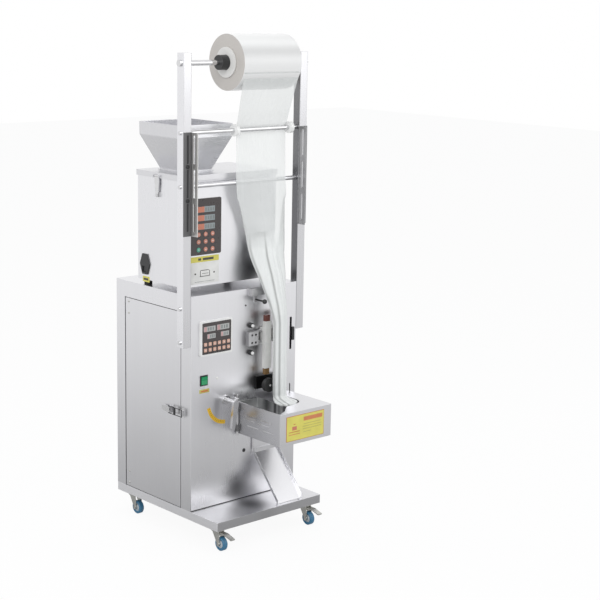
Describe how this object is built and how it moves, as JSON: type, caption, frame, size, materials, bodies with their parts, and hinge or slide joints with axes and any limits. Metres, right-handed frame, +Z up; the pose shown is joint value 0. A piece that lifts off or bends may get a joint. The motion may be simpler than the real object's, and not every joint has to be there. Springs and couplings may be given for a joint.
{
  "type": "powder filling machine",
  "caption": "Free-standing powder and grain filling machine: hopper and weigher on a steel cabinet, film roll on posts, forming spout, sealing jaws, chute and casters.",
  "frame": {"origin": "on the floor under the middle of the machine's bounding box", "axes": "+Z up, -Y towards the user at the front panel, +X to the right seen from the front"},
  "size_m": [0.516, 0.612, 1.6045],
  "materials": {
    "stainless": "brushed",
    "stainless_dark": "brushed",
    "zinc": "satin",
    "polished_steel": "polished",
    "film": "translucent film",
    "film_roll": "satin",
    "black_plastic": "satin",
    "panel_charcoal": "gloss",
    "keys": "satin",
    "bezel_white": "satin",
    "rocker_green": "gloss",
    "rubber_black": "matt",
    "wheel_blue": "satin",
    "heater_metal": "satin",
    "motor_paint": "satin"
  },
  "bodies": {
    "frame": {"base_tray": "stainless", "cabinet_shell": "stainless", "caster_plates": "zinc", "chute": "stainless", "controller_case": "bezel_white", "drive_motor": "motor_paint", "drive_shelf": "stainless", "feeder_drive": "stainless_dark", "film_web": "film", "forming_spout": "stainless", "guard_hinge": "polished_steel", "hinge_fittings": "polished_steel", "jaw_rods": "polished_steel", "keypads": "keys", "left_post": "stainless", "mechanism_brackets": "stainless", "panel_fittings": "black_plastic", "post_bolts": "polished_steel", "power_inlet": "black_plastic", "rear_panel": "stainless", "right_post": "stainless", "rubber_feet": "rubber_black", "slotted_brackets": "stainless_dark", "weigh_bucket": "stainless", "weigher_case": "stainless", "weigher_panel": "panel_charcoal"},
    "door": {"side_door": "stainless"},
    "door_latch": {"door_latch_lever": "polished_steel"},
    "door_loop": {"door_latch_loop": "black_plastic"},
    "lid": {"weigher_lid": "stainless", "hopper": "stainless"},
    "lid_lever": {"lid_latch": "polished_steel"},
    "roll": {"film_shaft": "polished_steel", "roll_chucks": "black_plastic", "film_roll": "film_roll"},
    "roller_upper": {"upper_roller": "stainless", "guide_rings": "black_plastic"},
    "roller_lower": {"lower_roller": "stainless"},
    "tray": {"feeder_tray": "stainless"},
    "flap": {"bucket_flap": "stainless"},
    "rocker": {"power_rocker": "rocker_green"},
    "crank": {"hand_crank": "stainless"},
    "seam_bar_left": {"seal_bar_left": "heater_metal"},
    "seam_bar_right": {"seal_bar_right": "heater_metal"},
    "pull_left": {"pull_wheel_left": "rubber_black"},
    "pull_right": {"pull_wheel_right": "rubber_black"},
    "guard": {"seal_guard": "stainless"},
    "jaw_rear": {"rear_jaw": "heater_metal"},
    "jaw_front": {"front_jaw": "heater_metal"},
    "cams": {"cam_shaft": "polished_steel"},
    "swivel_front_left": {"fork_front_left": "zinc"},
    "roll_front_left": {"wheel_front_left": "wheel_blue"},
    "brake_front_left": {"pedal_front_left": "zinc"},
    "swivel_front_right": {"fork_front_right": "zinc"},
    "roll_front_right": {"wheel_front_right": "wheel_blue"},
    "brake_front_right": {"pedal_front_right": "zinc"},
    "swivel_rear_left": {"fork_rear_left": "zinc"},
    "roll_rear_left": {"wheel_rear_left": "wheel_blue"},
    "swivel_rear_right": {"fork_rear_right": "zinc"},
    "roll_rear_right": {"wheel_rear_right": "wheel_blue"}
  },
  "joints": [
    {"name": "side_door_hinge", "type": "hinge", "parent": "frame", "child": "door", "pos_m": [-0.213, 0.2485, 0.43], "axis": [0, 0, 1], "range_deg": [-100, 0]},
    {"name": "door_latch_lever_hinge", "type": "hinge", "parent": "door", "child": "door_latch", "pos_m": [-0.226, 0.004, 0.422], "axis": [0, 0, 1], "range_deg": [0, 60]},
    {"name": "door_latch_loop_hinge", "type": "hinge", "parent": "door_latch", "child": "door_loop", "pos_m": [-0.231, 0.008, 0.422], "axis": [0, 0, 1], "range_deg": [-72, 0]},
    {"name": "weigher_lid_hinge", "type": "hinge", "parent": "frame", "child": "lid", "pos_m": [0.167, 0.066, 1.162], "axis": [0, 1, 0], "range_deg": [0, 20]},
    {"name": "lid_latch_hinge", "type": "hinge", "parent": "lid", "child": "lid_lever", "pos_m": [-0.2258, 0.081, 1.162], "axis": [0, 1, 0], "range_deg": [0, 120]},
    {"name": "film_shaft_spin", "type": "hinge", "parent": "frame", "child": "roll", "pos_m": [0, -0.078, 1.5175], "axis": [1, 0, 0], "continuous": true},
    {"name": "upper_roller_spin", "type": "hinge", "parent": "frame", "child": "roller_upper", "pos_m": [0, -0.078, 1.308], "axis": [1, 0, 0], "continuous": true},
    {"name": "lower_roller_spin", "type": "hinge", "parent": "frame", "child": "roller_lower", "pos_m": [0, -0.078, 1.144], "axis": [1, 0, 0], "continuous": true},
    {"name": "feeder_tray_shake", "type": "slide", "parent": "frame", "child": "tray", "axis": [1, 0, 0], "range_m": [-0.001, 0.001]},
    {"name": "bucket_flap_hinge", "type": "hinge", "parent": "frame", "child": "flap", "pos_m": [0.093, 0.0132, 1.084], "axis": [1, 0, 0], "range_deg": [-40, 0]},
    {"name": "power_rocker_tilt", "type": "hinge", "parent": "frame", "child": "rocker", "pos_m": [-0.168, -0.094, 0.527], "axis": [1, 0, 0], "range_deg": [-8, 0]},
    {"name": "hand_crank_turn", "type": "hinge", "parent": "frame", "child": "crank", "pos_m": [-0.078, -0.094, 0.449], "axis": [0, 1, 0], "range_deg": [-8, 69]},
    {"name": "seal_bar_left_slide", "type": "slide", "parent": "frame", "child": "seam_bar_left", "axis": [1, 0, 0], "range_m": [0, 0.0125]},
    {"name": "seal_bar_right_slide", "type": "slide", "parent": "frame", "child": "seam_bar_right", "axis": [1, 0, 0], "range_m": [-0.0125, 0]},
    {"name": "pull_wheel_left_spin", "type": "hinge", "parent": "frame", "child": "pull_left", "pos_m": [0.0698, -0.094, 0.482], "axis": [0, 1, 0], "continuous": true},
    {"name": "pull_wheel_right_spin", "type": "hinge", "parent": "frame", "child": "pull_right", "pos_m": [0.1162, -0.094, 0.482], "axis": [0, 1, 0], "continuous": true},
    {"name": "seal_guard_hinge", "type": "hinge", "parent": "frame", "child": "guard", "pos_m": [-0.0365, -0.103, 0.38], "axis": [0, 0, 1], "range_deg": [-36, 0]},
    {"name": "rear_jaw_slide", "type": "slide", "parent": "frame", "child": "jaw_rear", "axis": [0, 1, 0], "range_m": [-0.0305, 0]},
    {"name": "front_jaw_slide", "type": "slide", "parent": "frame", "child": "jaw_front", "axis": [0, 1, 0], "range_m": [0, 0.0305]},
    {"name": "cam_shaft_spin", "type": "hinge", "parent": "frame", "child": "cams", "pos_m": [0.093, -0.004, 0.348], "axis": [1, 0, 0], "continuous": true},
    {"name": "swivel_front_left", "type": "hinge", "parent": "frame", "child": "swivel_front_left", "pos_m": [-0.186, -0.191, 0.06], "axis": [0, 0, 1], "continuous": true},
    {"name": "wheel_spin_front_left", "type": "hinge", "parent": "swivel_front_left", "child": "roll_front_left", "pos_m": [-0.186, -0.21, 0.0225], "axis": [1, 0, 0], "continuous": true},
    {"name": "brake_front_left", "type": "hinge", "parent": "swivel_front_left", "child": "brake_front_left", "pos_m": [-0.186, -0.21, 0.055], "axis": [1, 0, 0], "range_deg": [0, 12]},
    {"name": "swivel_front_right", "type": "hinge", "parent": "frame", "child": "swivel_front_right", "pos_m": [0.186, -0.191, 0.06], "axis": [0, 0, 1], "continuous": true},
    {"name": "wheel_spin_front_right", "type": "hinge", "parent": "swivel_front_right", "child": "roll_front_right", "pos_m": [0.186, -0.21, 0.0225], "axis": [1, 0, 0], "continuous": true},
    {"name": "brake_front_right", "type": "hinge", "parent": "swivel_front_right", "child": "brake_front_right", "pos_m": [0.186, -0.21, 0.055], "axis": [1, 0, 0], "range_deg": [0, 12]},
    {"name": "swivel_rear_left", "type": "hinge", "parent": "frame", "child": "swivel_rear_left", "pos_m": [-0.186, 0.254, 0.06], "axis": [0, 0, 1], "continuous": true},
    {"name": "wheel_spin_rear_left", "type": "hinge", "parent": "swivel_rear_left", "child": "roll_rear_left", "pos_m": [-0.186, 0.235, 0.0225], "axis": [1, 0, 0], "continuous": true},
    {"name": "swivel_rear_right", "type": "hinge", "parent": "frame", "child": "swivel_rear_right", "pos_m": [0.186, 0.254, 0.06], "axis": [0, 0, 1], "continuous": true},
    {"name": "wheel_spin_rear_right", "type": "hinge", "parent": "swivel_rear_right", "child": "roll_rear_right", "pos_m": [0.186, 0.235, 0.0225], "axis": [1, 0, 0], "continuous": true}
  ],
  "couplings": [
    {"joint": "door_latch_loop_hinge", "follows": "door_latch_lever_hinge", "ratio": -1.2},
    {"joint": "seal_bar_right_slide", "follows": "seal_bar_left_slide", "ratio": -1},
    {"joint": "pull_wheel_right_spin", "follows": "pull_wheel_left_spin", "ratio": -1},
    {"joint": "front_jaw_slide", "follows": "rear_jaw_slide", "ratio": -1}
  ]
}
